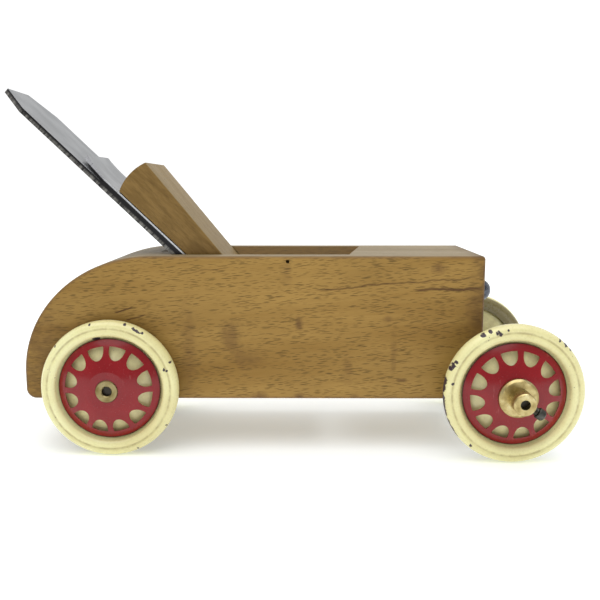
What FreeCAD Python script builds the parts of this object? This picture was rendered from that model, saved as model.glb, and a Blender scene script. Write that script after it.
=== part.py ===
"""Toy racing car made from a wooden smoothing plane on four pressed tin wheels.

Units are millimetres. +X runs from the tail to the toe, +Y to the car's left, +Z up.
The origin is on the floor under the middle of the overall box.
Each function builds one kind of piece. Each piece is written as its own STEP file.
"""
import FreeCAD, Part
import math
import os

V = FreeCAD.Vector

# Plane body, a beech block whose heel is rounded off as the car's tail
BODY_LENGTH = 206.2
BODY_WIDTH = 61.6
BODY_HEIGHT = 65.0
TAIL_RUN = 58.2
TAIL_DROP = 53.5
TAIL_CORNER = 4.5
BODY_EDGE = 1.8

# Bed, throat and mouth
BED_ANGLE = math.radians(43.84)
BED_TO_TOE = 136.5
BED_WIDTH = 46.8
THROAT_WIDTH = 45.9
THROAT_FRONT_RIGHT = -59.8
THROAT_FRONT_LEFT = -52.0
MOUTH_FRONT = -65.0
MOUTH_DEPTH = 4.0
ABUTMENT_GAP = 35.0
ABUTMENT_LOW = 44.0
ABUTMENT_HIGH = 58.0
GROOVE_WIDTH = 17.0
GROOVE_DEPTH = 5.0
SLIDE_GAP = 0.15

# Plane iron, cap iron and the screw that joins them
IRON_WIDTH = 46.0
IRON_THICK = 2.3
IRON_TOP = 106.6
IRON_EDGE = -87.0
IRON_CLIP_RUN = 13.9
IRON_CLIP_SIDE = 10.4
IRON_SLOT = 11.0
IRON_SLOT_TOP = 30.0
IRON_SLOT_LOW = -40.0
IRON_HOLE = 16.0
CAP_THICK = 2.0
CAP_TOP = 60.0
CAP_LOW = -85.2
CAP_CLIP_START = 46.4
CAP_END_WIDTH = 35.2
CAP_LIP_RISE = 1.6
CAP_HUMP = 2.6
SCREW_AT = -18.0
SCREW_HEAD = 14.0
SCREW_SHANK = 8.0
SCREW_HOLE = 8.1

# Wedge
WEDGE_WIDTH = 45.0
WEDGE_TOP = 38.3
WEDGE_LOW = -52.0
WEDGE_UNDER = 2.3
WEDGE_FRONT = 15.2
WEDGE_TAPER = 0.118
WEDGE_ARCH = 1.7
WEDGE_FORK = 22.0
WEDGE_FORK_TOP = -34.0

# Wheels: radii from the axle, offsets outwards from the rim of the red disc
WHEEL_R = 30.6
SHELL_SHEET = 0.6
SHELL_SEAT = 4.9
DISC_R = 22.6
DISC_SHEET = 0.45
DISC_SEAT = 5.45
DISC_FLAT_R = 8.6
DISC_RIM = 0.1
WEB_HOLE_R = 4.8
SLOTS = 12
SLOT_OUTER_R = 19.4
SLOT_INNER_R = 13.7
SLOT_HALF = 3.6

# Hubs, set screws and axles
AXLE_R = 2.0
HUB_BORE_R = 2.1
HUB_R = 4.75
FLANGE_R = 8.4
FLANGE_THICK = 2.5
HUB_SEAT = 5.5
WEB_BACK = 4.25
FRONT_BOSS_END = 16.9
REAR_BOSS_END = -5.7
SET_SCREW_R = 1.8
SET_CORE_R = 1.4
SET_PITCH = 0.9
SET_HOLE_R = 1.85
SET_HEAD_R = 2.4
SET_HEAD_FROM = 7.9
SET_HEAD_TO = 11.2
BEARING_GAP = 0.06

# Where the wheels stand, from the toe face and the sole
AXLE_ABOVE_SOLE = 6.8
FRONT_AXLE = 10.55
REAR_AXLE = -166.3
FRONT_RIM_Y = 45.5
REAR_RIM_Y = 37.2
FRONT_AXLE_HALF = 59.2
REAR_AXLE_HALF = 41.3

# Axle brackets and headlamp studs on the toe
BRACKET_SHEET = 1.5
BRACKET_HEIGHT = 13.0
BRACKET_INNER = 12.5
BRACKET_OUTER = 38.0
BRACKET_SCREWS_Y = (17.5, 26.0)
WOOD_SCREW_R = 1.4
WOOD_SCREW_LENGTH = 13.0
WOOD_HEAD_R = 3.0
WOOD_HEAD_RISE = 1.9
LAMP_R = 5.1
LAMP_Y = 19.0
LAMP_Z = 48.4
LAMP_PIN_R = 1.5
LAMP_PIN = 12.0
NAIL_HOLE_R = 0.8
NAIL_HOLE_AT = (-87.4, 62.6)
NAIL_HOLE_DEPTH = 6.0

# The lengths above are from the toe face and the sole. These carry them to the frame.
BED_COS = math.cos(BED_ANGLE)
BED_SIN = math.sin(BED_ANGLE)
BACKMOST = -BED_TO_TOE - IRON_TOP * BED_COS - IRON_THICK * BED_SIN
FRONTMOST = FRONT_AXLE + WHEEL_R
TOE_X = -(BACKMOST + FRONTMOST) / 2
SOLE_Z = WHEEL_R - AXLE_ABOVE_SOLE
TOP_Z = SOLE_Z + BODY_HEIGHT
HALF_WIDTH = BODY_WIDTH / 2


def wire_face(edges):
    return Part.Face(Part.Wire(edges))


def lines(points):
    return [Part.makeLine(a, b) for a, b in zip(points, points[1:] + points[:1])]


def prism_y(points, y_from, y_to):
    """Polygon of (x, z) from the toe and the sole, drawn out along Y."""
    corners = [V(TOE_X + x, y_from, SOLE_Z + z) for x, z in points]
    return wire_face(lines(corners)).extrude(V(0, y_to - y_from, 0))


def prism_x(points, x_from, x_to):
    """Polygon of (y, z) from the centre plane and the sole, drawn out along X."""
    corners = [V(TOE_X + x_from, y, SOLE_Z + z) for y, z in points]
    return wire_face(lines(corners)).extrude(V(x_to - x_from, 0, 0))


def bed_point(along, off):
    """(x, z) of a place on the bed: along it upwards, and off its iron's upper face."""
    x = -BED_TO_TOE - along * BED_COS + off * BED_SIN
    z = BODY_HEIGHT + along * BED_SIN + off * BED_COS
    return x, z


def bed_placed(shape):
    """Moves a shape drawn as (along, across, off) onto the sloping bed."""
    x, z = bed_point(0, 0)
    turn = FreeCAD.Rotation(V(-BED_COS, 0, BED_SIN), V(0, -1, 0), V(BED_SIN, 0, BED_COS), "XYZ")
    shape.Placement = FreeCAD.Placement(V(TOE_X + x, 0, SOLE_Z + z), turn)
    return shape


def box(along_from, along_to, width, off_from, off_to):
    size = (along_to - along_from, width, off_to - off_from)
    return Part.makeBox(*size, V(along_from, -width / 2, off_from))


def cylinder(radius, start, end):
    return Part.makeCylinder(radius, (end - start).Length, start, end - start)


def right_way_out(solid):
    return solid.reversed() if solid.Volume < 0 else solid


def turned(edges):
    """Solid of revolution about Z from a closed outline in the XZ plane."""
    return right_way_out(wire_face(edges).revolve(V(0, 0, 0), V(0, 0, 1), 360))


def turned_polygon(points):
    return turned(lines([V(r, 0, z) for r, z in points]))


def smooth_arcs(points, backwards=False):
    """Arcs that follow a smooth line through the points."""
    spline = Part.BSplineCurve()
    spline.interpolate(points[::-1] if backwards else points)
    knots = spline.getKnots()
    steps = [(a, (a + b) / 2, b) for a, b in zip(knots, knots[1:])]
    return [Part.Arc(*[spline.value(at) for at in step]).toShape() for step in steps]


def pressed_sheet(points, sheet):
    """Round pressing: a line of (radius, offset), flat then smooth, with the sheet behind it."""
    front = [V(r, 0, z) for r, z in points]
    back = []
    for i, here in enumerate(front):
        before = front[max(i - 1, 0)] if i != 1 else here - V(1, 0, 0)
        after = front[min(i + 1, len(front) - 1)] if i > 1 else here + V(1, 0, 0)
        run = (after - before).normalize()
        back.append(here + V(run.z, 0, -run.x) * sheet)
    edges = [Part.makeLine(front[0], front[1])] + smooth_arcs(front[1:])
    edges += [Part.makeLine(front[-1], back[-1])] + smooth_arcs(back[1:], backwards=True)
    edges += [Part.makeLine(back[1], back[0]), Part.makeLine(back[0], front[0])]
    return turned(edges)


# Plane body


def body_outline():
    """Side outline: flat sole and top, square toe, elliptical tail."""
    tail_x = TOE_X - BODY_LENGTH
    centre = V(tail_x + TAIL_RUN, -HALF_WIDTH, SOLE_Z + BODY_HEIGHT - TAIL_DROP)
    ellipse = Part.Ellipse(centre + V(-TAIL_RUN, 0, 0), centre + V(0, 0, TAIL_DROP), centre)
    arc = Part.ArcOfEllipse(ellipse, 0, math.pi / 2).toShape()
    low = V(tail_x, -HALF_WIDTH, SOLE_Z + TAIL_CORNER)
    foot = V(tail_x + TAIL_CORNER, -HALF_WIDTH, SOLE_Z)
    diagonal = TAIL_CORNER * (1 - math.sqrt(0.5))
    mid = V(tail_x + diagonal, -HALF_WIDTH, SOLE_Z + diagonal)
    toe_low = V(TOE_X, -HALF_WIDTH, SOLE_Z)
    toe_high = V(TOE_X, -HALF_WIDTH, TOP_Z)
    top = centre + V(0, 0, TAIL_DROP)
    waist = centre + V(-TAIL_RUN, 0, 0)
    return [
        arc,
        Part.makeLine(waist, low),
        Part.Arc(low, mid, foot).toShape(),
        Part.makeLine(foot, toe_low),
        Part.makeLine(toe_low, toe_high),
        Part.makeLine(toe_high, top),
    ]


def body_block():
    block = wire_face(Part.__sortEdges__(body_outline())).extrude(V(0, BODY_WIDTH, 0))
    return block.makeFillet(BODY_EDGE, block.Edges)


def wedge_front_off(along):
    return WEDGE_FRONT + WEDGE_TAPER * along


def bed_hollow():
    """The slot that takes the irons and the wedge, from the top through the mouth."""
    gap = 2 * SLIDE_GAP
    under = -IRON_THICK - SLIDE_GAP
    high = 40.0
    below = bed_point(-105.0, under)
    knee = WEDGE_LOW - 4
    outline = [
        bed_point(high, under),
        below,
        (MOUTH_FRONT, below[1]),
        (MOUTH_FRONT, MOUTH_DEPTH),
        bed_point(knee, wedge_front_off(knee) + gap),
        bed_point(high, wedge_front_off(high) + gap),
    ]
    return prism_y(outline, -BED_WIDTH / 2, BED_WIDTH / 2)


def throat_hollow():
    """The chip throat ahead of the wedge, between the abutments."""
    back = bed_point(-8.0, 9.0)
    over = 4.0
    sides = []
    for y, front in ((-THROAT_WIDTH / 2, THROAT_FRONT_RIGHT), (THROAT_WIDTH / 2, THROAT_FRONT_LEFT)):
        rise = (BODY_HEIGHT + over - MOUTH_DEPTH) / (BODY_HEIGHT - MOUTH_DEPTH)
        ring = [
            back,
            (MOUTH_FRONT - 1, MOUTH_DEPTH),
            (MOUTH_FRONT, MOUTH_DEPTH),
            (MOUTH_FRONT + (front - MOUTH_FRONT) * rise, BODY_HEIGHT + over),
            (back[0], BODY_HEIGHT + over),
        ]
        corners = [V(TOE_X + x, y, SOLE_Z + z) for x, z in ring]
        sides.append(Part.Wire(lines(corners)))
    whole = right_way_out(Part.makeLoft(sides, True, True))
    half, gap = THROAT_WIDTH / 2 + 1, ABUTMENT_GAP / 2
    flare = [
        (-half, BODY_HEIGHT + 9),
        (-half, ABUTMENT_HIGH),
        (-gap, ABUTMENT_LOW),
        (-gap, -9),
        (gap, -9),
        (gap, ABUTMENT_LOW),
        (half, ABUTMENT_HIGH),
        (half, BODY_HEIGHT + 9),
    ]
    return whole.common(prism_x(flare, -160, -20))


def head_groove():
    """Groove down the bed that clears the head of the cap iron's screw."""
    low = -60.0
    under = -IRON_THICK - SLIDE_GAP
    return bed_placed(box(low, 60, GROOVE_WIDTH, under - GROOVE_DEPTH, under + 1))


def plane_body():
    shape = body_block()
    shape = shape.cut(bed_hollow()).cut(throat_hollow()).cut(head_groove())
    axle = V(TOE_X + REAR_AXLE, 0, WHEEL_R)
    side = V(0, BODY_WIDTH, 0)
    shape = shape.cut(cylinder(AXLE_R + BEARING_GAP, axle - side, axle + side))
    nail = V(TOE_X + NAIL_HOLE_AT[0], -HALF_WIDTH - 1, SOLE_Z + NAIL_HOLE_AT[1])
    shape = shape.cut(cylinder(NAIL_HOLE_R, nail, nail + V(0, NAIL_HOLE_DEPTH + 1, 0)))
    for y in (-LAMP_Y, LAMP_Y):
        mouth = V(TOE_X + 1, y, SOLE_Z + LAMP_Z)
        shape = shape.cut(cylinder(LAMP_PIN_R, mouth, mouth - V(LAMP_PIN + 1, 0, 0)))
    for place in bracket_screw_places():
        end = place - V(WOOD_SCREW_LENGTH, 0, 0)
        shape = shape.cut(cylinder(WOOD_SCREW_R, place + V(1, 0, 0), end))
    return shape


# Irons and wedge


def plane_iron():
    half = IRON_WIDTH / 2
    clip = IRON_TOP - IRON_CLIP_RUN
    outline = [
        V(IRON_EDGE, -half, 0),
        V(clip, -half, 0),
        V(IRON_TOP, -half + IRON_CLIP_SIDE, 0),
        V(IRON_TOP, half - IRON_CLIP_SIDE, 0),
        V(clip, half, 0),
        V(IRON_EDGE, half, 0),
    ]
    iron = wire_face(lines(outline)).extrude(V(0, 0, -IRON_THICK))
    bevel_run = IRON_THICK / math.tan(math.radians(27))
    bevel = [
        V(IRON_EDGE - 1, -half - 1, -0.2),
        V(IRON_EDGE, -half - 1, -0.2),
        V(IRON_EDGE + bevel_run, -half - 1, -IRON_THICK - 0.01),
        V(IRON_EDGE - 1, -half - 1, -IRON_THICK - 0.01),
    ]
    iron = iron.cut(wire_face(lines(bevel)).extrude(V(0, IRON_WIDTH + 2, 0)))
    slot = box(IRON_SLOT_LOW, IRON_SLOT_TOP, IRON_SLOT, -IRON_THICK - 1, 1)
    ends = ((IRON_SLOT_TOP, IRON_SLOT / 2), (IRON_SLOT_LOW, IRON_HOLE / 2))
    for along, radius in ends:
        slot = slot.fuse(cylinder(radius, V(along, 0, -IRON_THICK - 1), V(along, 0, 1)))
    return bed_placed(iron.cut(slot))


def cap_iron():
    """Flat strip with a curled top lip and a humped lower end that meets the edge."""
    length = CAP_TOP - CAP_CLIP_START
    hump_low, hump_high, hump_top = CAP_LOW, -62.0, -75.0
    under = [V(CAP_TOP, 0, CAP_LIP_RISE), V(CAP_CLIP_START + length * 0.5, 0, CAP_LIP_RISE * 0.25)]
    under += [V(CAP_CLIP_START, 0, 0)]
    over = [p + V(0, 0, CAP_THICK) for p in under]
    hump_under = [V(hump_high, 0, 0), V(hump_top, 0, CAP_HUMP * 0.8), V(hump_low, 0, 0)]
    hump_over = [V(hump_high, 0, CAP_THICK), V(hump_top, 0, CAP_HUMP + CAP_THICK), V(hump_low, 0, 0.4)]
    edges = [
        Part.Arc(*over).toShape(),
        Part.makeLine(over[-1], hump_over[0]),
        Part.Arc(*hump_over).toShape(),
        Part.makeLine(hump_over[-1], hump_under[-1]),
        Part.Arc(*hump_under[::-1]).toShape(),
        Part.makeLine(hump_under[0], under[-1]),
        Part.Arc(*under[::-1]).toShape(),
        Part.makeLine(under[0], over[0]),
    ]
    strip = wire_face(edges).extrude(V(0, IRON_WIDTH, 0))
    strip.translate(V(0, -IRON_WIDTH / 2, 0))
    half, end = IRON_WIDTH / 2, CAP_END_WIDTH / 2
    plan = [
        V(CAP_LOW - 1, -half, -5),
        V(CAP_CLIP_START, -half, -5),
        V(CAP_TOP, -end, -5),
        V(CAP_TOP + 0.01, end, -5),
        V(CAP_CLIP_START, half, -5),
        V(CAP_LOW - 1, half, -5),
    ]
    strip = strip.common(wire_face(lines(plan)).extrude(V(0, 0, 20)))
    hole = cylinder(SCREW_HOLE / 2, V(SCREW_AT, 0, -5), V(SCREW_AT, 0, 15))
    return bed_placed(strip.cut(hole))


def cap_iron_screw():
    """Slotted screw: wide head under the iron, shank up into the cap iron."""
    top = CAP_THICK
    head_low = -IRON_THICK - 3.2
    head = cylinder(SCREW_HEAD / 2, V(SCREW_AT, 0, head_low), V(SCREW_AT, 0, -IRON_THICK))
    shank = cylinder(SCREW_SHANK / 2, V(SCREW_AT, 0, -IRON_THICK), V(SCREW_AT, 0, top))
    slot = Part.makeBox(SCREW_HEAD + 2, 1.6, 1.3, V(SCREW_AT - SCREW_HEAD / 2 - 1, -0.8, head_low - 0.1))
    return bed_placed(head.fuse(shank).removeSplitter().cut(slot))


def wedge():
    """Tapered wedge with an arched top and a forked lower end."""
    high_off = wedge_front_off(WEDGE_TOP)
    arch = [
        V(WEDGE_TOP, 0, WEDGE_UNDER),
        V(WEDGE_TOP + WEDGE_ARCH, 0, (WEDGE_UNDER + high_off) / 2),
        V(WEDGE_TOP, 0, high_off),
    ]
    low = [V(WEDGE_LOW, 0, wedge_front_off(WEDGE_LOW)), V(WEDGE_LOW, 0, WEDGE_UNDER)]
    edges = [
        Part.Arc(*arch).toShape(),
        Part.makeLine(arch[2], low[0]),
        Part.makeLine(low[0], low[1]),
        Part.makeLine(low[1], arch[0]),
    ]
    block = wire_face(edges).extrude(V(0, WEDGE_WIDTH, 0))
    block.translate(V(0, -WEDGE_WIDTH / 2, 0))
    front = [e for e in block.Edges if abs(e.Length - WEDGE_WIDTH) > 1 and e.BoundBox.ZMin > 5]
    block = block.makeFillet(0.8, front)
    fork = box(WEDGE_LOW - 1, WEDGE_FORK_TOP, WEDGE_FORK, 0, 30)
    crown = cylinder(WEDGE_FORK / 2, V(WEDGE_FORK_TOP, 0, 0), V(WEDGE_FORK_TOP, 0, 30))
    return bed_placed(block.cut(fork.fuse(crown)))


# Toe fittings


def bracket_screw_places():
    x = TOE_X + BRACKET_SHEET
    z = SOLE_Z + AXLE_ABOVE_SOLE
    return [V(x, side * y, z) for side in (-1, 1) for y in BRACKET_SCREWS_Y]


def axle_bracket(side):
    """Steel angle: a foot on the toe face and an ear that carries the front axle."""
    low, high = WHEEL_R - BRACKET_HEIGHT / 2, WHEEL_R + BRACKET_HEIGHT / 2
    inner, outer = sorted((side * BRACKET_INNER, side * BRACKET_OUTER))
    foot = Part.makeBox(BRACKET_SHEET, outer - inner, high - low, V(TOE_X, inner, low))
    ear_y = sorted((side * BRACKET_OUTER, side * (BRACKET_OUTER - BRACKET_SHEET)))
    ear = Part.makeBox(FRONT_AXLE, BRACKET_SHEET, high - low, V(TOE_X, ear_y[0], low))
    axle = V(TOE_X + FRONT_AXLE, ear_y[0], WHEEL_R)
    across = V(0, BRACKET_SHEET, 0)
    ear = ear.fuse(cylinder(BRACKET_HEIGHT / 2, axle, axle + across))
    shape = foot.fuse(ear).removeSplitter()
    shape = shape.cut(cylinder(AXLE_R + BEARING_GAP, axle - across, axle + across * 2))
    for place in bracket_screw_places():
        shape = shape.cut(cylinder(WOOD_SCREW_R, place - V(5, 0, 0), place + V(5, 0, 0)))
    return shape


def wood_screw(place):
    """Round-headed screw pointing back into the toe."""
    ball = (WOOD_HEAD_R ** 2 + WOOD_HEAD_RISE ** 2) / (2 * WOOD_HEAD_RISE)
    centre = place + V(WOOD_HEAD_RISE - ball, 0, 0)
    dome = Part.makeSphere(ball, centre)
    keep = cylinder(WOOD_HEAD_R + 1, place, place + V(5, 0, 0))
    shank = cylinder(WOOD_SCREW_R, place - V(WOOD_SCREW_LENGTH, 0, 0), place)
    slot = Part.makeBox(2, 8, 0.8, place + V(WOOD_HEAD_RISE - 0.8, -4, -0.4))
    return dome.common(keep).fuse(shank).removeSplitter().cut(slot)


def headlamp(side):
    """Domed steel stud driven into the toe."""
    face = V(TOE_X, side * LAMP_Y, SOLE_Z + LAMP_Z)
    keep = cylinder(LAMP_R + 1, face, face + V(LAMP_R + 1, 0, 0))
    pin = cylinder(LAMP_PIN_R, face - V(LAMP_PIN, 0, 0), face)
    return Part.makeSphere(LAMP_R, face).common(keep).fuse(pin).removeSplitter()


# Wheels


def wheel_placed(shape, axle_x, rim_y, side, turn):
    """Moves a shape drawn about Z, outside up, to its end of the axle."""
    shape.rotate(V(0, 0, 0), V(0, 0, 1), turn)
    frame = FreeCAD.Rotation(V(1, 0, 0), V(0, 0, -side), V(0, side, 0), "XYZ")
    shape.Placement = FreeCAD.Placement(V(TOE_X + axle_x, side * rim_y, WHEEL_R), frame) * shape.Placement
    return shape


def tyre_shell():
    """Tin tyre and web pressed in one piece, open at the back."""
    line = [(WEB_HOLE_R, SHELL_SEAT), (8.5, SHELL_SEAT), (10.0, 4.3), (12.0, 3.0), (14.5, 1.4), (17.0, 0.2)]
    line += [(20.2, -0.9), (22.3, -1.1), (23.3, 0.0), (23.8, 1.7), (25.1, 2.8), (26.3, 2.7)]
    line += [(27.2, 2.3), (28.2, 2.6), (29.5, 2.0), (30.4, 0.4), (WHEEL_R, -1.2), (30.1, -3.1)]
    line += [(28.7, -4.7), (26.5, -5.2), (24.5, -4.9), (23.2, -4.0)]
    return pressed_sheet(line, SHELL_SHEET)


def disc_slot(turn):
    """Half-moon opening: an arc about the axle outside and half an ellipse inside."""
    chord = math.sqrt(SLOT_OUTER_R ** 2 - SLOT_HALF ** 2)
    middle = V(0, chord, -3)
    left, right = V(-SLOT_HALF, chord, -3), V(SLOT_HALF, chord, -3)
    outer = Part.Arc(left, V(0, SLOT_OUTER_R, -3), right).toShape()
    ellipse = Part.Ellipse(V(0, SLOT_INNER_R, -3), right, middle)
    inner = Part.ArcOfEllipse(ellipse, -math.pi / 2, math.pi / 2).toShape()
    tool = wire_face([outer, inner]).extrude(V(0, 0, 12))
    tool.rotate(V(0, 0, 0), V(0, 0, 1), turn)
    return tool


def dome_line(middle, ball, radii):
    """Points at those radii on a ball whose middle is on the axis."""
    return [V(r, 0, middle + math.sqrt(ball ** 2 - r ** 2)) for r in radii]


def wheel_disc():
    """Domed disc, flat under the flange, with a ring of half-moon openings."""
    rise = DISC_SEAT - DISC_RIM
    middle = (DISC_SEAT ** 2 + DISC_FLAT_R ** 2 - DISC_RIM ** 2 - DISC_R ** 2) / (2 * rise)
    ball = math.hypot(DISC_R, DISC_RIM - middle)
    front = dome_line(middle, ball, (DISC_FLAT_R, (DISC_FLAT_R + DISC_R) / 2, DISC_R))
    inside = ball - DISC_SHEET
    under = DISC_SEAT - DISC_SHEET
    flat = math.sqrt(inside ** 2 - (under - middle) ** 2)
    edge = DISC_R * inside / ball
    back = dome_line(middle, inside, (edge, (flat + edge) / 2, flat))
    high, low = V(WEB_HOLE_R, 0, DISC_SEAT), V(WEB_HOLE_R, 0, under)
    edges = [Part.makeLine(high, front[0]), Part.Arc(*front).toShape()]
    edges += [Part.makeLine(front[2], back[0]), Part.Arc(*back).toShape()]
    edges += [Part.makeLine(back[2], low), Part.makeLine(low, high)]
    disc = turned(edges)
    for i in range(SLOTS):
        disc = disc.cut(disc_slot(i * 360 / SLOTS))
    return disc


def front_hub():
    """Flange and boss outside the disc, spigot riveted over behind the web."""
    rivet_r, rivet = 6.2, 0.9
    flange_top = HUB_SEAT + FLANGE_THICK
    outline = [
        (HUB_BORE_R, WEB_BACK - rivet),
        (rivet_r - 0.5, WEB_BACK - rivet),
        (rivet_r, WEB_BACK),
        (HUB_R, WEB_BACK),
        (HUB_R, HUB_SEAT),
        (FLANGE_R, HUB_SEAT),
        (FLANGE_R, flange_top - 0.9),
        (FLANGE_R - 0.9, flange_top),
        (HUB_R, flange_top),
        (HUB_R, FRONT_BOSS_END - 0.4),
        (HUB_R - 0.4, FRONT_BOSS_END),
        (HUB_BORE_R, FRONT_BOSS_END),
    ]
    return turned_polygon(outline)


def rear_hub():
    """Rolled eyelet outside the disc, flange and boss behind the web."""
    roll_r, roll = 4.7, 0.6
    spigot_r = 3.9
    outline = [
        (HUB_BORE_R, REAR_BOSS_END),
        (HUB_R, REAR_BOSS_END),
        (HUB_R, WEB_BACK - FLANGE_THICK),
        (FLANGE_R, WEB_BACK - FLANGE_THICK),
        (FLANGE_R, WEB_BACK),
        (spigot_r, WEB_BACK),
        (spigot_r, HUB_SEAT),
        (roll_r + 0.3, HUB_SEAT),
        (roll_r, HUB_SEAT + roll),
        (HUB_BORE_R + 0.4, HUB_SEAT + roll),
        (HUB_BORE_R, HUB_SEAT + 0.2),
    ]
    return turned_polygon(outline)


def set_screw(offset):
    """Slotted, threaded screw that bears on the axle, drawn pointing along X."""
    turns = int((SET_HEAD_FROM - AXLE_R) / SET_PITCH)
    first = SET_HEAD_FROM - turns * SET_PITCH
    outline = [(0, AXLE_R - 1), (SET_CORE_R, AXLE_R - 1)]
    for i in range(turns):
        foot = first + i * SET_PITCH
        outline += [(SET_CORE_R, foot), (SET_SCREW_R, foot + SET_PITCH / 2)]
    outline += [
        (SET_CORE_R, SET_HEAD_FROM),
        (SET_HEAD_R - 0.3, SET_HEAD_FROM),
        (SET_HEAD_R, SET_HEAD_FROM + 0.3),
        (SET_HEAD_R, SET_HEAD_TO - 0.6),
        (SET_HEAD_R - 0.6, SET_HEAD_TO),
        (0, SET_HEAD_TO),
    ]
    screw = turned_polygon(outline)
    screw.rotate(V(0, 0, 0), V(0, 1, 0), 90)
    screw.translate(V(0, 0, offset))
    slot = Part.makeBox(1.2, 8, 0.8, V(SET_HEAD_TO - 1.1, -4, offset - 0.4))
    return screw.cut(slot).cut(cylinder(AXLE_R, V(0, 0, offset - 5), V(0, 0, offset + 5)))


def wheel_pieces(name, axle_x, rim_y, side, front, slot_turn, screw_turn):
    """The four pieces of one wheel, keyed by their node names."""
    boss_end = FRONT_BOSS_END if front else REAR_BOSS_END
    boss_root = HUB_SEAT + FLANGE_THICK if front else WEB_BACK - FLANGE_THICK
    offset = boss_root + 0.42 * (boss_end - boss_root)
    hub = front_hub() if front else rear_hub()
    hub = hub.cut(cylinder(SET_HOLE_R, V(0, 0, offset), V(9, 0, offset)))
    pieces = {
        "tyre_shell_" + name: (tyre_shell(), 0),
        "wheel_disc_" + name: (wheel_disc(), slot_turn),
        "wheel_hub_" + name: (hub, screw_turn),
        "set_screw_" + name: (set_screw(offset), screw_turn),
    }
    return {
        node: wheel_placed(shape, axle_x, rim_y, side, turn)
        for node, (shape, turn) in pieces.items()
    }


def axle(axle_x, half_length):
    middle = V(TOE_X + axle_x, 0, WHEEL_R)
    reach = V(0, half_length, 0)
    return cylinder(AXLE_R, middle - reach, middle + reach)


def all_pieces():
    nodes = {
        "plane_body": plane_body(),
        "plane_iron": plane_iron(),
        "cap_iron": cap_iron(),
        "cap_iron_screw": cap_iron_screw(),
        "wedge": wedge(),
        "headlamp_left": headlamp(1),
        "headlamp_right": headlamp(-1),
        "axle_bracket_left": axle_bracket(1),
        "axle_bracket_right": axle_bracket(-1),
        "bracket_screws": Part.makeCompound([wood_screw(p) for p in bracket_screw_places()]),
        "front_axle": axle(FRONT_AXLE, FRONT_AXLE_HALF),
        "rear_axle": axle(REAR_AXLE, REAR_AXLE_HALF),
    }
    # name, axle, rim offset, side, boss outside, slot turn, set screw turn
    wheels = [
        ("front_right", FRONT_AXLE, FRONT_RIM_Y, -1, True, 10.6, -34.5),
        ("front_left", FRONT_AXLE, FRONT_RIM_Y, 1, True, 21.0, 70.0),
        ("rear_right", REAR_AXLE, REAR_RIM_Y, -1, False, -14.0, 110.0),
        ("rear_left", REAR_AXLE, REAR_RIM_Y, 1, False, 3.0, -140.0),
    ]
    for wheel in wheels:
        nodes.update(wheel_pieces(*wheel))
    return nodes


os.makedirs("parts", exist_ok=True)
for node, shape in all_pieces().items():
    shape.exportStep("parts/" + node + ".step")
    print(node, shape.isValid(), len(shape.Solids), round(shape.Volume, 1))
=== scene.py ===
"""Looks for the wooden plane on toy wheels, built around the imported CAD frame.

Metres, in the row frame: +X from tail to toe, +Y to the car's left, +Z up, floor at 0.
"""
import math

import bpy
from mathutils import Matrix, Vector


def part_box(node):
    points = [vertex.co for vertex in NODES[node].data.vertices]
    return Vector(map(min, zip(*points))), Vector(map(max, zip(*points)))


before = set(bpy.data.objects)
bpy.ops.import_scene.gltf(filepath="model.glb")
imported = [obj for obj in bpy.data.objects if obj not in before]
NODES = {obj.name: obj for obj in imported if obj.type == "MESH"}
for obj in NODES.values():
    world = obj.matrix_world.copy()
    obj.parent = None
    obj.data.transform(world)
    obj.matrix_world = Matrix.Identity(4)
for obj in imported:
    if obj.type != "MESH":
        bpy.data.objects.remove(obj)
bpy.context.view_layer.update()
MM = 0.001

# Places read from the frame
body_low, body_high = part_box("plane_body")
TOE = body_high.x
SOLE = body_low.z
HALF_WIDTH = body_high.y
WHEEL_NAMES = ("front_right", "front_left", "rear_right", "rear_left")


def middle(node):
    low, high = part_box(node)
    return (low + high) / 2


AXLES = {name: middle("tyre_shell_" + name) for name in WHEEL_NAMES}
iron_low, iron_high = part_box("plane_iron")
IRON_SLOPE = math.radians(43.84)
GRAIN_TILT = math.radians(4.0)
BED_OFF = Vector((math.sin(IRON_SLOPE), 0, math.cos(IRON_SLOPE)))
IRON_THICK = 2.3 * MM
BED_LEVEL = Vector((iron_low.x, 0, iron_high.z)).dot(BED_OFF) + IRON_THICK * math.sin(IRON_SLOPE) ** 2

# Where grime gathers along the body, and how deep a stain goes
TOE_GRIME = (TOE - 9 * MM, TOE - 1 * MM)
TAIL_GRIME = (TOE - 178 * MM, TOE - 206 * MM)
STAIN_DEPTH = 9 * MM

# Heights off the iron's upper face between which its edge turns pitted
PITTED_BELOW = (-0.5 * MM, -1.3 * MM)

# The wheel's face, as radii: painted shade on the disc's rim and on the tyre's inner edge and dish, and the
# groove
DISC_RIM_SHADE = (22.0 * MM, 22.45 * MM)
DISH_SHADE = (23.2 * MM, 22.8 * MM)
GROOVE_R = 27.2 * MM
GROOVE_HALF = 0.8 * MM

# Inward of the tyre's middle, where painted shade turns its cream into the dark back
BACK_SHADE_START = (2.6 * MM, 3.8 * MM)


# Node helpers


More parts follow.
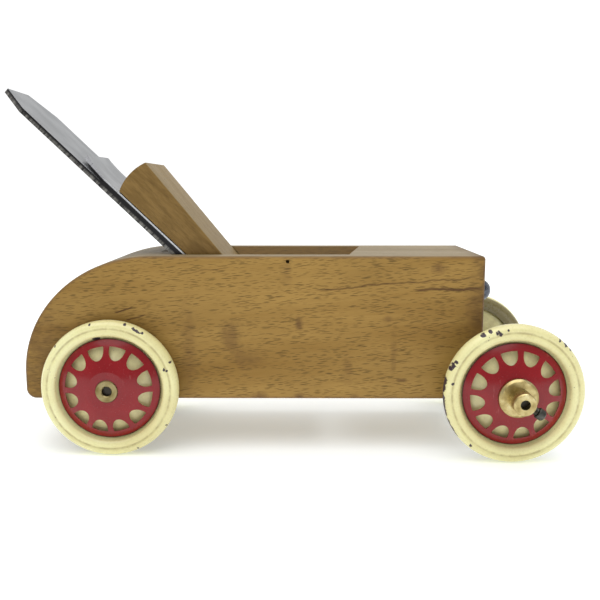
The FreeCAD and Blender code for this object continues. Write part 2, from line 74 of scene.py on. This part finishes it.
class Shader:
    """A Principled material whose node graph is built with short calls."""

    def __init__(self, name, **constants):
        self.material = bpy.data.materials.new(name)
        self.material.use_nodes = True
        self.tree = self.material.node_tree
        self.tree.nodes.clear()
        self.bsdf = self.tree.nodes.new("ShaderNodeBsdfPrincipled")
        out = self.tree.nodes.new("ShaderNodeOutputMaterial")
        self.tree.links.new(self.bsdf.outputs[0], out.inputs[0])
        self.coords = self.tree.nodes.new("ShaderNodeTexCoord").outputs["Object"]
        for socket, value in constants.items():
            self.bsdf.inputs[socket.replace("_", " ")].default_value = value

    def put(self, socket, value):
        """Links an output to a socket, or sets a constant on it."""
        if hasattr(value, "is_linked"):
            self.tree.links.new(value, socket)
        else:
            socket.default_value = value

    def set(self, socket, value):
        self.put(self.bsdf.inputs[socket], value)

    def maths(self, operation, a, b=0.0, c=0.0):
        node = self.tree.nodes.new("ShaderNodeMath")
        node.operation = operation
        for socket, value in zip(node.inputs, (a, b, c)):
            self.put(socket, value)
        return node.outputs[0]

    def vector(self, operation, a, b=(0, 0, 0)):
        node = self.tree.nodes.new("ShaderNodeVectorMath")
        node.operation = operation
        self.put(node.inputs[0], a)
        self.put(node.inputs[1], b)
        single = operation in ("DOT_PRODUCT", "LENGTH")
        return node.outputs["Value" if single else "Vector"]

    def mapped(self, place=(0, 0, 0), turn=(0, 0, 0), scale=(1, 1, 1), source=None):
        node = self.tree.nodes.new("ShaderNodeMapping")
        self.put(node.inputs["Vector"], source or self.coords)
        node.inputs["Location"].default_value = place
        node.inputs["Rotation"].default_value = turn
        node.inputs["Scale"].default_value = scale
        return node.outputs[0]

    def noise(self, source, scale=1.0, detail=3.0, rough=0.5, bend=0.0):
        node = self.tree.nodes.new("ShaderNodeTexNoise")
        self.put(node.inputs["Vector"], source)
        node.inputs["Scale"].default_value = scale
        node.inputs["Detail"].default_value = detail
        node.inputs["Roughness"].default_value = rough
        node.inputs["Distortion"].default_value = bend
        return node.outputs["Fac"]

    def cells(self, source, scale=1.0):
        """Distance to the nearest of many scattered points."""
        node = self.tree.nodes.new("ShaderNodeTexVoronoi")
        self.put(node.inputs["Vector"], source)
        node.inputs["Scale"].default_value = scale
        return node.outputs["Distance"]

    def ramp(self, factor, *stops):
        """Colour ramp; each stop is (position, colour) with colour a number or RGB."""
        node = self.tree.nodes.new("ShaderNodeValToRGB")
        self.put(node.inputs[0], factor)
        band = node.color_ramp
        while len(band.elements) < len(stops):
            band.elements.new(0.5)
        for element, (position, colour) in zip(band.elements, stops):
            element.position = position
            rgb = (colour,) * 3 if isinstance(colour, (int, float)) else tuple(colour)
            element.color = rgb + (1.0,)
        return node.outputs["Color"]

    def smooth(self, value, low, high, to_low=0.0, to_high=1.0):
        """Eased step from to_low at low to to_high at high, which may run downwards."""
        node = self.tree.nodes.new("ShaderNodeMapRange")
        node.interpolation_type = "SMOOTHSTEP"
        self.put(node.inputs["Value"], value)
        node.inputs["From Min"].default_value = low
        node.inputs["From Max"].default_value = high
        node.inputs["To Min"].default_value = to_low
        node.inputs["To Max"].default_value = to_high
        return node.outputs["Result"]

    def mix(self, factor, a, b):
        node = self.tree.nodes.new("ShaderNodeMix")
        node.data_type = "RGBA"
        self.put(node.inputs["Factor"], factor)
        for socket, value in ((node.inputs[6], a), (node.inputs[7], b)):
            if isinstance(value, (tuple, list)):
                value = tuple(value) + (1.0,)
            self.put(socket, value)
        return node.outputs[2]

    def split(self, source):
        node = self.tree.nodes.new("ShaderNodeSeparateXYZ")
        self.put(node.inputs[0], source)
        return node.outputs

    def normal(self):
        return self.split(self.tree.nodes.new("ShaderNodeNewGeometry").outputs["Normal"])

    def spot(self, centre, radii, ragged=0.25, grain=400.0, edge=(1.15, 0.75)):
        """Ragged spot of the given half sizes round a place, 1 inside and 0 outside."""
        inverse = tuple(1.0 / r for r in radii)
        place = tuple(-c * i for c, i in zip(centre, inverse))
        away = self.vector("LENGTH", self.mapped(place, scale=inverse))
        rough = self.noise(self.coords, grain, 3.0, 0.6)
        away = self.maths("ADD", away, self.maths("MULTIPLY", self.maths("SUBTRACT", rough, 0.5), ragged * 4))
        return self.smooth(away, *edge)

    def bump(self, height, strength, distance):
        node = self.tree.nodes.new("ShaderNodeBump")
        node.inputs["Strength"].default_value = strength
        node.inputs["Distance"].default_value = distance
        self.put(node.inputs["Height"], height)
        return node.outputs[0]


def beech(name, grain_turn, tint, face=None, dirt=None):
    """Oiled beech. grain_turn turns the row frame so that its X follows the grain."""
    s = Shader(name, Specular_IOR_Level=0.22)
    along = s.mapped(turn=grain_turn)
    figure = s.noise(s.mapped(source=along, scale=(5, 60, 60)), 1.0, 4.0, 0.6, 0.4)
    fine = s.noise(s.mapped(source=along, scale=(40, 900, 900)), 1.0, 3.0, 0.6)
    cloud = s.noise(s.mapped(source=along, scale=(18, 28, 28)), 1.0, 3.0, 0.5)
    dark, mid, light = [tuple(t * c for t, c in zip(tint, shade)) for shade in (
        (0.70, 0.64, 0.52), (1.0, 1.0, 1.0), (1.20, 1.22, 1.26))]
    colour = s.ramp(figure, (0.28, dark), (0.5, mid), (0.74, light))
    colour = s.mix(s.smooth(cloud, 0.35, 0.7, 0.0, 0.35), colour, tuple(0.72 * c for c in tint))
    colour = s.mix(s.smooth(fine, 0.3, 0.7, 0.0, 0.22), colour, dark)
    flecks = 0.0
    drift = s.noise(s.mapped(source=along, scale=(50, 260, 260)), 1.0, 2.0)
    for shift, size in (((0, 0, 0), (150, 1650, 1650)), ((0.37, 0.11, 0.53), (220, 2300, 2300))):
        away = s.cells(s.mapped(place=shift, source=along, scale=size), 1.0)
        edge = s.smooth(away, 0.16, 0.36, 1.0, 0.0)
        edge = s.maths("MULTIPLY", edge, s.smooth(drift, 0.30, 0.52))
        flecks = s.maths("MAXIMUM", edge, flecks)
    colour = s.mix(s.maths("MULTIPLY", flecks, 0.75), colour, tuple(0.22 * c for c in tint))
    if face:
        colour = face(s, colour)
    if dirt:
        colour = dirt(s, colour)
    s.set("Base Color", colour)
    s.set("Roughness", s.smooth(figure, 0.3, 0.7, 0.55, 0.42))
    height = s.maths("SUBTRACT", s.maths("MULTIPLY", fine, 0.5), flecks)
    s.set("Normal", s.bump(height, 0.35, 0.00012))
    return s.material


def body_faces(s, colour):
    """Painted sheen that greys and pales the top, a paler far wall in the throat and darker handled edges."""
    ny, nz = s.normal()[1:3]
    # Painted sheen: faces turned upwards are greyer and paler, where the light falls on them
    top = s.smooth(nz, 0.6, 0.95)
    colour = s.mix(s.maths("MULTIPLY", top, 0.6), colour, (0.28, 0.25, 0.175))
    left_half = s.smooth(s.split(s.coords)[1], 0.0, 10 * MM)
    far_wall = s.maths("MULTIPLY", left_half, s.smooth(ny, -0.5, -0.9))
    colour = s.mix(s.maths("MULTIPLY", far_wall, 0.55), colour, (0.42, 0.31, 0.18))
    square = s.maths("MULTIPLY", ny, ny)
    edge = s.maths("MULTIPLY", square, s.maths("SUBTRACT", 1.0, square))
    edge = s.maths("MULTIPLY", edge, s.smooth(s.noise(s.coords, 120.0, 3.0), 0.3, 0.6, 1.2, 2.4))
    return s.mix(s.maths("MINIMUM", edge, 0.55), colour, (0.16, 0.08, 0.03))


def wedge_faces(s, colour):
    """Darker sides with a streaky grain, and a painted sheen that greys the up-facing front."""
    nx, ny = s.normal()[0:2]
    side = s.smooth(s.maths("ABSOLUTE", ny), 0.5, 0.85)
    along = s.mapped(turn=(0, -IRON_SLOPE, 0))
    grain = s.noise(s.mapped(source=along, scale=(90, 480, 480)), 1.0, 4.0, 0.65)
    brown = s.mix(s.smooth(grain, 0.35, 0.65), (0.14, 0.080, 0.021), (0.215, 0.130, 0.040))
    colour = s.mix(s.maths("MULTIPLY", side, 0.8), colour, brown)
    # Painted sheen: the up-facing front is made greyer
    front = s.smooth(nx, 0.4, 0.65)
    return s.mix(s.maths("MULTIPLY", front, 0.6), colour, (0.28, 0.222, 0.12))


def streak(s, x, z, start, end, half):
    """Thin line on the car's side from one (x, z) in millimetres to another."""
    slope = (end[1] - start[1]) / (end[0] - start[0])
    line = s.maths("MULTIPLY_ADD", s.maths("SUBTRACT", x, TOE + start[0] * MM), slope, SOLE + start[1] * MM)
    wander = s.maths("SUBTRACT", s.noise(s.mapped(scale=(130, 130, 10)), 1.0, 3.0), 0.5)
    off = s.maths("SUBTRACT", s.maths("SUBTRACT", z, line), s.maths("MULTIPLY", wander, 3 * MM))
    across = s.smooth(s.maths("ABSOLUTE", off), half * MM, 0.25 * half * MM)
    middle_x = TOE + (start[0] + end[0]) / 2 * MM
    reach = abs(end[0] - start[0]) / 2 * MM
    along = s.smooth(s.maths("ABSOLUTE", s.maths("SUBTRACT", x, middle_x)), reach, 0.7 * reach)
    return s.maths("MULTIPLY", across, along)


def body_stains(s, colour):
    """Stains, dark streaks under the deck, smudges, the grimy toe and tail."""
    x, y, z = s.split(s.coords)
    for place, size, strength in BODY_STAINS:
        centre = (TOE + place[0] * MM, -HALF_WIDTH, SOLE + place[1] * MM)
        radii = (size[0] * MM, STAIN_DEPTH, size[1] * MM)
        spot = s.spot(centre, radii, 0.5, 300.0, (1.6, 0.1))
        colour = s.mix(s.maths("MULTIPLY", spot, strength), colour, (0.085, 0.036, 0.016))
    near = s.smooth(y, 0.0, -HALF_WIDTH * 0.5)
    for start, end, half, strength in BODY_STREAKS:
        line = s.maths("MULTIPLY", streak(s, x, z, start, end, half), near)
        colour = s.mix(s.maths("MULTIPLY", line, strength), colour, (0.06, 0.022, 0.010))
    toe = s.smooth(x, *TOE_GRIME, 0.0, 0.55)
    tail = s.smooth(x, *TAIL_GRIME, 0.0, 0.42)
    grime = s.smooth(s.noise(s.mapped(scale=(160, 160, 420)), 1.0, 4.0, 0.6), 0.3, 0.62)
    shade = s.maths("MULTIPLY", s.maths("MAXIMUM", toe, tail), grime)
    return s.mix(shade, colour, (0.095, 0.045, 0.018))


# Place as (x from the toe, z from the sole) and half sizes, in millimetres, then strength
BODY_STAINS = [
    ((-21, 59.5), (2.8, 2.2), 0.55),
    ((-82.3, 34.7), (1.8, 2.6), 0.62),
    ((-113, 29.0), (4.5, 6.5), 0.42),
    ((-106, 19.0), (7.0, 4.0), 0.30),
    ((-42.5, 36.9), (1.8, 1.6), 0.40),
    ((-36, 8.8), (2.4, 0.8), 0.60),
    ((-100, 1.4), (3.4, 1.8), 0.50),
    ((-82, 1.4), (2.2, 1.4), 0.50),
    ((-57, 1.2), (2.2, 1.2), 0.40),
    ((-40, 20.0), (1.3, 9.0), 0.28),
    ((-60.6, 14.0), (2.2, 7.0), 0.25),
    ((-132, 24.0), (3.4, 21.0), 0.26),
    ((-88, 58.0), (2.0, 5.0), 0.22),
    ((-5, 40.0), (5.0, 10.0), 0.25),
    ((-194, 20.0), (9.0, 14.0), 0.28),
]

# Ends as (x from the toe, z from the sole) and half thickness, in millimetres, then strength
BODY_STREAKS = [
    ((-75.4, 49.7), (-36.0, 53.4), 0.55, 0.60),
    ((-42.5, 52.7), (-3.0, 55.6), 0.5, 0.50),
    ((-32.7, 50.2), (0.0, 50.4), 0.9, 0.70),
    ((-21.0, 51.8), (-3.0, 49.1), 0.5, 0.50),
    ((-165.0, 39.6), (-156.0, 42.6), 0.5, 0.80),
    ((-160.0, 36.8), (-150.5, 38.6), 0.45, 0.70),
    ((-129.0, 58.5), (-112.0, 59.6), 0.4, 0.35),
]


def satin_steel(name, face_colour, rough, bright_above=None):
    """Ground steel: satin on its broad face, dark and pitted on its narrow sides.

    Above the height given as the last argument, off the iron's upper face, those sides are rubbed bright and
    carry a painted highlight along the edge.
    """
    s = Shader(name, Metallic=1.0)
    through = s.mapped(turn=(0, IRON_SLOPE, 0))  # its X runs through the iron's thickness
    brushed = s.noise(s.mapped(source=through, scale=(60, 1500, 60)), 1.0, 4.0, 0.6)
    cloud = s.noise(s.coords, 60.0, 4.0, 0.55)
    streaks = s.noise(s.mapped(source=through, scale=(110, 300, 900)), 1.0, 4.0, 0.7)
    dull, dark = [tuple(share * c for c in face_colour) for share in (0.72, 0.6)]
    colour = s.mix(s.smooth(cloud, 0.3, 0.75, 0.0, 0.5), face_colour, dull)
    colour = s.mix(s.smooth(brushed, 0.35, 0.7, 0.0, 0.25), colour, dark)
    side = s.smooth(s.maths("ABSOLUTE", s.normal()[1]), 0.4, 0.8)
    off = s.maths("SUBTRACT", s.vector("DOT_PRODUCT", s.coords, tuple(BED_OFF)), BED_LEVEL)
    lower = s.smooth(off, *PITTED_BELOW)
    pitted = s.maths("MULTIPLY", lower, s.smooth(streaks, 0.32, 0.66))
    black = s.mix(pitted, (0.028, 0.027, 0.028), (0.25, 0.24, 0.22))
    if bright_above is not None:
        # Rubbed bright steel, with a painted highlight standing in for the glint along the edge
        rub_and_glint = s.smooth(streaks, 0.25, 0.5, 0.4, 1.0)
        line = s.maths("MULTIPLY", s.smooth(off, bright_above, bright_above + 0.4 * MM), rub_and_glint)
        black = s.mix(line, black, (0.60, 0.60, 0.62))
    colour = s.mix(side, colour, black)
    s.set("Base Color", colour)
    s.set("Roughness", s.smooth(cloud, 0.3, 0.7, rough, rough + 0.14))
    s.set("Normal", s.bump(brushed, 0.12, 0.00004))
    return s.material


def dark_steel(name, colour, rough):
    """Blackened or blued steel with rubbed patches."""
    s = Shader(name, Metallic=1.0)
    cloud = s.noise(s.coords, 350.0, 4.0, 0.6)
    fine = s.noise(s.coords, 2600.0, 3.0, 0.6)
    rubbed = tuple(min(1.0, 1.9 * c) for c in colour)
    s.set("Base Color", s.mix(s.smooth(cloud, 0.45, 0.75), colour, rubbed))
    s.set("Roughness", s.smooth(fine, 0.3, 0.7, rough, rough + 0.2))
    s.set("Normal", s.bump(fine, 0.2, 0.00006))
    return s.material


def rod_steel(name, half_length):
    """Drawn rod whose ends, sunk in the hub bores, are darkened with painted shade."""
    s = Shader(name, Metallic=1.0, Roughness=0.36)
    drawn = s.noise(s.mapped(scale=(900, 30, 900)), 1.0, 3.0, 0.6)
    colour = s.mix(s.smooth(drawn, 0.3, 0.7), (0.20, 0.195, 0.19), (0.40, 0.39, 0.37))
    # Painted shade: the rod's ends inside the hub bores are darkened
    end = s.smooth(s.maths("ABSOLUTE", s.split(s.coords)[1]), half_length - 4 * MM, half_length - 1 * MM)
    s.set("Base Color", s.mix(end, colour, (0.045, 0.04, 0.034)))
    return s.material


def brass(name, polish):
    """Turned brass gone slightly dull, with darker flecks."""
    s = Shader(name, Metallic=1.0)
    cloud = s.noise(s.coords, 260.0, 4.0, 0.6)
    fine = s.noise(s.coords, 1800.0, 3.0, 0.6)
    tones = [tuple(polish * c for c in tone) for tone in (
        (0.30, 0.22, 0.085), (0.46, 0.37, 0.17), (0.56, 0.48, 0.26))]
    colour = s.ramp(cloud, (0.3, tones[0]), (0.5, tones[1]), (0.72, tones[2]))
    colour = s.mix(s.smooth(fine, 0.55, 0.75, 0.0, 0.4), colour, (0.24, 0.15, 0.06))
    s.set("Base Color", colour)
    s.set("Roughness", s.smooth(cloud, 0.3, 0.7, 0.38, 0.24))
    s.set("Normal", s.bump(fine, 0.15, 0.00006))
    return s.material


def wheel_radius(s, centre):
    """Distance from the wheel's axis, in metres."""
    flat = s.vector("MULTIPLY", s.vector("SUBTRACT", s.coords, tuple(centre)), (1, 0, 1))
    return s.vector("LENGTH", flat)


def ring(s, radius, at, half):
    """1 on a ring of that radius, 0 away from it."""
    away = s.maths("ABSOLUTE", s.maths("SUBTRACT", radius, at))
    return s.smooth(away, half, 0.0)


def cream_paint(name, centre, chips, side):
    """Aged cream enamel over dark primer, grimy in its grooves, chipped at its rim, with painted shade on its
    back, its inner edge and the dish seen through the disc.
    """
    s = Shader(name, Specular_IOR_Level=0.5, Coat_Weight=0.35, Coat_Roughness=0.12)
    cloud = s.noise(s.coords, 45.0, 4.0, 0.6)
    fine = s.noise(s.coords, 900.0, 4.0, 0.65)
    colour = s.ramp(
        cloud, (0.3, (0.79, 0.72, 0.35)), (0.55, (0.87, 0.82, 0.42)), (0.75, (0.90, 0.87, 0.48)))
    radius = wheel_radius(s, centre)
    inward = s.maths("MULTIPLY", s.maths("SUBTRACT", s.split(s.coords)[1], centre.y), -side)
    # Painted shade: the tyre's back, which faces the car and gets little light, is made dark olive
    behind = s.smooth(inward, *BACK_SHADE_START)
    colour = s.mix(behind, colour, (0.20, 0.165, 0.065))
    # Grime in the groove, and painted shade on the tyre's inner edge and on the dish seen through the disc's
    # cut-outs
    groove = ring(s, radius, GROOVE_R, GROOVE_HALF)
    grime = s.maths("MAXIMUM", groove, s.smooth(radius, *DISH_SHADE, 0.0, 0.5))
    grime = s.maths("MULTIPLY", grime, s.smooth(s.noise(s.coords, 300.0, 3.0), 0.25, 0.65, 0.15, 0.62))
    grime = s.maths("MULTIPLY", grime, s.maths("SUBTRACT", 1.0, behind))
    colour = s.mix(grime, colour, (0.36, 0.27, 0.11))
    bare = s.smooth(s.cells(s.coords, 420.0), 0.10, 0.06)
    bare = s.maths("MULTIPLY", bare, s.smooth(s.noise(s.coords, 90.0, 2.0), 0.55, 0.65))
    for angle, at, depth, size in chips:
        turn = math.radians(angle)
        spot = centre + Vector((math.cos(turn) * at * MM, side * depth * MM, math.sin(turn) * at * MM))
        half = (size * MM, CHIP_REACH, size * MM)
        ragged = 0.35 if size > LARGE_CHIP else 0.7
        bare = s.maths("MAXIMUM", bare, s.spot(spot, half, ragged, CHIP_GRAIN, (1.3, 0.95)))
    colour = s.mix(bare, colour, (0.035, 0.018, 0.030))
    s.set("Base Color", colour)
    s.set("Roughness", s.maths("ADD", s.smooth(fine, 0.3, 0.7, 0.24, 0.36), s.maths("MULTIPLY", bare, 0.3)))
    height = s.maths("SUBTRACT", s.maths("MULTIPLY", fine, 0.25), bare)
    s.set("Normal", s.bump(height, 0.3, 0.00012))
    return s.material


def red_paint(name, centre):
    """Glossy red enamel with painted shade darkening its rim where it meets the tyre, and fine scratches."""
    s = Shader(name, Specular_IOR_Level=0.38, Coat_Weight=0.12, Coat_Roughness=0.08)
    cloud = s.noise(s.coords, 70.0, 3.0, 0.5)
    fine = s.noise(s.coords, 1300.0, 4.0, 0.6)
    radius = wheel_radius(s, centre)
    colour = s.ramp(cloud, (0.3, (0.22, 0.004, 0.007)), (0.7, (0.28, 0.007, 0.011)))
    # Painted shade: the disc's rim is darkened where it meets the tyre
    rim = s.smooth(radius, *DISC_RIM_SHADE)
    colour = s.mix(rim, colour, (0.035, 0.007, 0.009))
    scratch = s.smooth(s.noise(s.mapped(scale=(900, 900, 90)), 1.0, 3.0, 0.6), 0.66, 0.74)
    colour = s.mix(s.maths("MULTIPLY", scratch, 0.25), colour, (0.5, 0.16, 0.14))
    s.set("Base Color", colour)
    s.set("Roughness", s.smooth(fine, 0.3, 0.7, 0.16, 0.28))
    s.set("Normal", s.bump(fine, 0.10, 0.00008))
    return s.material


def assign(node, material):
    """Gives a CAD node its material in place of the one it was packed with."""
    mesh = NODES[node].data
    mesh.materials.clear()
    mesh.materials.append(material)


# How far a chip reaches along the axle, how fine its edge is broken up,
# and the half size in mm above which it is less ragged
CHIP_REACH = 2.2 * MM
CHIP_GRAIN = 700.0
LARGE_CHIP = 1.4

# Chips in the cream paint: degrees about the axle, radius, outward offset, half size (mm)
CHIPS = {
    "front_right": [
        (119.3, 29.7, 1.4, 0.9), (112.6, 29.9, 1.2, 0.75), (108.5, 28.2, 1.9, 0.8), (105.6, 27.7, 2.1, 0.8),
        (106.6, 28.9, 1.7, 0.6), (98.6, 28.7, 1.8, 0.5), (154.5, 29.6, 1.0, 1.0), (150.6, 29.3, 1.2, 0.7),
        (157.6, 30.2, 0.4, 0.8), (169.6, 27.6, 2.2, 0.55), (169.5, 30.9, -0.8, 2.1), (174.5, 30.9, -1.0, 2.2),
        (184.0, 31.0, -1.0, 2.5), (189.5, 31.0, -1.0, 2.6), (195.0, 31.0, -1.0, 2.3),
        (204.0, 31.0, -1.0, 2.3), (210.0, 31.0, -1.0, 2.3), (215.0, 31.0, -1.0, 1.9),
        (53.0, 29.7, 1.2, 0.55), (46.8, 30.0, 1.0, 0.8), (41.2, 30.2, 0.8, 0.55),
        (2.3, 30.3, 0.0, 0.45), (230.3, 29.1, 1.6, 0.6),
    ],
    "front_left": [(140, 29.0, 0.5, 1.6), (200, 30.0, -2.0, 2.6), (20, 28.5, 1.5, 1.0)],
    "rear_right": [
        (104.4, 29.8, 1.0, 0.4), (74.5, 29.9, 1.0, 0.55), (66.9, 29.7, 1.2, 0.5), (65.5, 29.5, 1.2, 0.5),
        (64.1, 29.35, 1.3, 0.5), (62.7, 29.2, 1.3, 0.5), (61.3, 29.2, 1.3, 0.5), (59.9, 29.3, 1.2, 0.5),
        (58.6, 29.6, 1.2, 0.5), (19.8, 26.4, 2.4, 0.6), (18.4, 27.2, 2.3, 0.5), (24.2, 29.9, 0.9, 0.5),
        (-33.5, 29.9, 0.9, 0.4), (-65.8, 29.6, 1.2, 0.4), (103, 22.9, -0.2, 1.5), (140, 29.9, 0.8, 0.4),
    ],
    "rear_left": [(80, 28.6, 1.2, 1.2), (230, 29.4, 0.4, 1.8)],
}

WOOD = (0.375, 0.222, 0.056)
# Height above which the cap iron's sides are rubbed bright and carry a painted highlight
CAP_BRIGHT_ABOVE = 1.1 * MM
HUB_POLISH = {"front": 1.15, "rear": 0.62}
assign("plane_body", beech("beech_body_finish", (0, GRAIN_TILT, 0), WOOD, body_faces, body_stains))
assign("wedge", beech("beech_wedge_finish", (0, -IRON_SLOPE, 0), WOOD, wedge_faces))
assign("plane_iron", satin_steel("iron_finish", (0.44, 0.45, 0.46), 0.34))
assign("cap_iron", satin_steel("cap_finish", (0.47, 0.48, 0.49), 0.28, CAP_BRIGHT_ABOVE))
assign("cap_iron_screw", dark_steel("cap_screw_finish", (0.16, 0.15, 0.15), 0.35))
for lamp in ("headlamp_left", "headlamp_right"):
    assign(lamp, dark_steel(lamp + "_finish", (0.09, 0.095, 0.11), 0.16))
for bracket in ("axle_bracket_left", "axle_bracket_right"):
    assign(bracket, dark_steel(bracket + "_finish", (0.24, 0.23, 0.22), 0.38))
assign("bracket_screws", dark_steel("bracket_screws_finish", (0.18, 0.17, 0.16), 0.34))
for rod in ("front_axle", "rear_axle"):
    assign(rod, rod_steel(rod + "_finish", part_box(rod)[1].y))
for name, centre in AXLES.items():
    outward = 1 if centre.y > 0 else -1
    assign("tyre_shell_" + name, cream_paint("cream_" + name, centre, CHIPS[name], outward))
    assign("wheel_disc_" + name, red_paint("red_" + name, centre))
    assign("wheel_hub_" + name, brass("brass_" + name, HUB_POLISH[name.split("_")[0]]))
    assign("set_screw_" + name, dark_steel("set_screw_finish_" + name, (0.085, 0.085, 0.075), 0.36))


# Floor, light and camera

FLOOR_SIZE = 12.0
TABLE_GLOW = 0.32
TABLE_TINT = (0.90, 1.0, 1.0, 1)
BACKDROP = 1.1
ROOM_FRONT = 0.5
ROOM_BACK = 1.0
OVERHEAD = 1.6
OVERHEAD_SPREAD = 70

# Lens and sensor in mm, angles in degrees, place in mm from the toe, the middle and the sole
CAMERA_LENS = 44.41
CAMERA_SENSOR = 36.0
CAMERA_PITCH = 8.78
CAMERA_YAW = 0.30
CAMERA_AT = (-80.24, -355.33, 95.60)


def square_sheet(name, size):
    """A flat square on the floor, round the origin."""
    mesh = bpy.data.meshes.new(name)
    half = size / 2
    corners = [(-half, -half, 0), (half, -half, 0), (half, half, 0), (-half, half, 0)]
    mesh.from_pydata(corners, [], [(0, 1, 2, 3)])
    made = bpy.data.objects.new(name, mesh)
    bpy.context.scene.collection.objects.link(made)
    return made


def studio_world():
    """A white backdrop for the camera, and a room that is darker in front than behind."""
    world = bpy.data.worlds.new("studio")
    world.use_nodes = True
    nodes, links = world.node_tree.nodes, world.node_tree.links
    backdrop = nodes["Background"]
    backdrop.inputs["Color"].default_value = (1, 1, 1, 1)
    backdrop.inputs["Strength"].default_value = BACKDROP
    room = nodes.new("ShaderNodeBackground")
    direction = nodes.new("ShaderNodeTexCoord")
    parts = nodes.new("ShaderNodeSeparateXYZ")
    links.new(direction.outputs["Generated"], parts.inputs[0])
    depth = nodes.new("ShaderNodeMapRange")
    depth.interpolation_type = "SMOOTHSTEP"
    ends = (("From Min", -0.75), ("From Max", 0.35), ("To Min", ROOM_FRONT), ("To Max", ROOM_BACK))
    for socket, value in ends:
        depth.inputs[socket].default_value = value
    links.new(parts.outputs["Y"], depth.inputs["Value"])
    links.new(depth.outputs["Result"], room.inputs["Strength"])
    choose = nodes.new("ShaderNodeMixShader")
    rays = nodes.new("ShaderNodeLightPath")
    links.new(rays.outputs["Is Camera Ray"], choose.inputs[0])
    links.new(room.outputs[0], choose.inputs[1])
    links.new(backdrop.outputs[0], choose.inputs[2])
    links.new(choose.outputs[0], nodes["World Output"].inputs[0])
    return world


def soft_sun(name, aim, strength, spread):
    data = bpy.data.lights.new(name, "SUN")
    data.energy = strength
    data.angle = math.radians(spread)
    light = bpy.data.objects.new(name, data)
    light.rotation_euler = Vector(aim).to_track_quat("-Z", "Y").to_euler()
    bpy.context.scene.collection.objects.link(light)


def studio_camera():
    data = bpy.data.cameras.new("camera")
    data.sensor_width = CAMERA_SENSOR
    data.lens = CAMERA_LENS
    camera = bpy.data.objects.new("camera", data)
    from_toe, from_middle, above_sole = CAMERA_AT
    camera.location = (TOE + from_toe * MM, from_middle * MM, SOLE + above_sole * MM)
    camera.rotation_euler = (math.radians(90 - CAMERA_PITCH), 0, math.radians(CAMERA_YAW))
    bpy.context.scene.collection.objects.link(camera)
    return camera


floor = square_sheet("floor", FLOOR_SIZE)
paper = Shader("floor_paper", Roughness=0.9, Specular_IOR_Level=0.1, Emission_Strength=TABLE_GLOW)
paper.bsdf.inputs["Emission Color"].default_value = TABLE_TINT
paper.set("Base Color", paper.ramp(paper.noise(paper.coords, 3.0, 2.0), (0.0, 0.90), (1.0, 0.92)))
floor.data.materials.append(paper.material)

bpy.context.scene.world = studio_world()
soft_sun("overhead_light", (0.12, 0.28, -1.0), OVERHEAD, OVERHEAD_SPREAD)
bpy.context.scene.camera = studio_camera()
bpy.context.scene.view_settings.view_transform = "Standard"
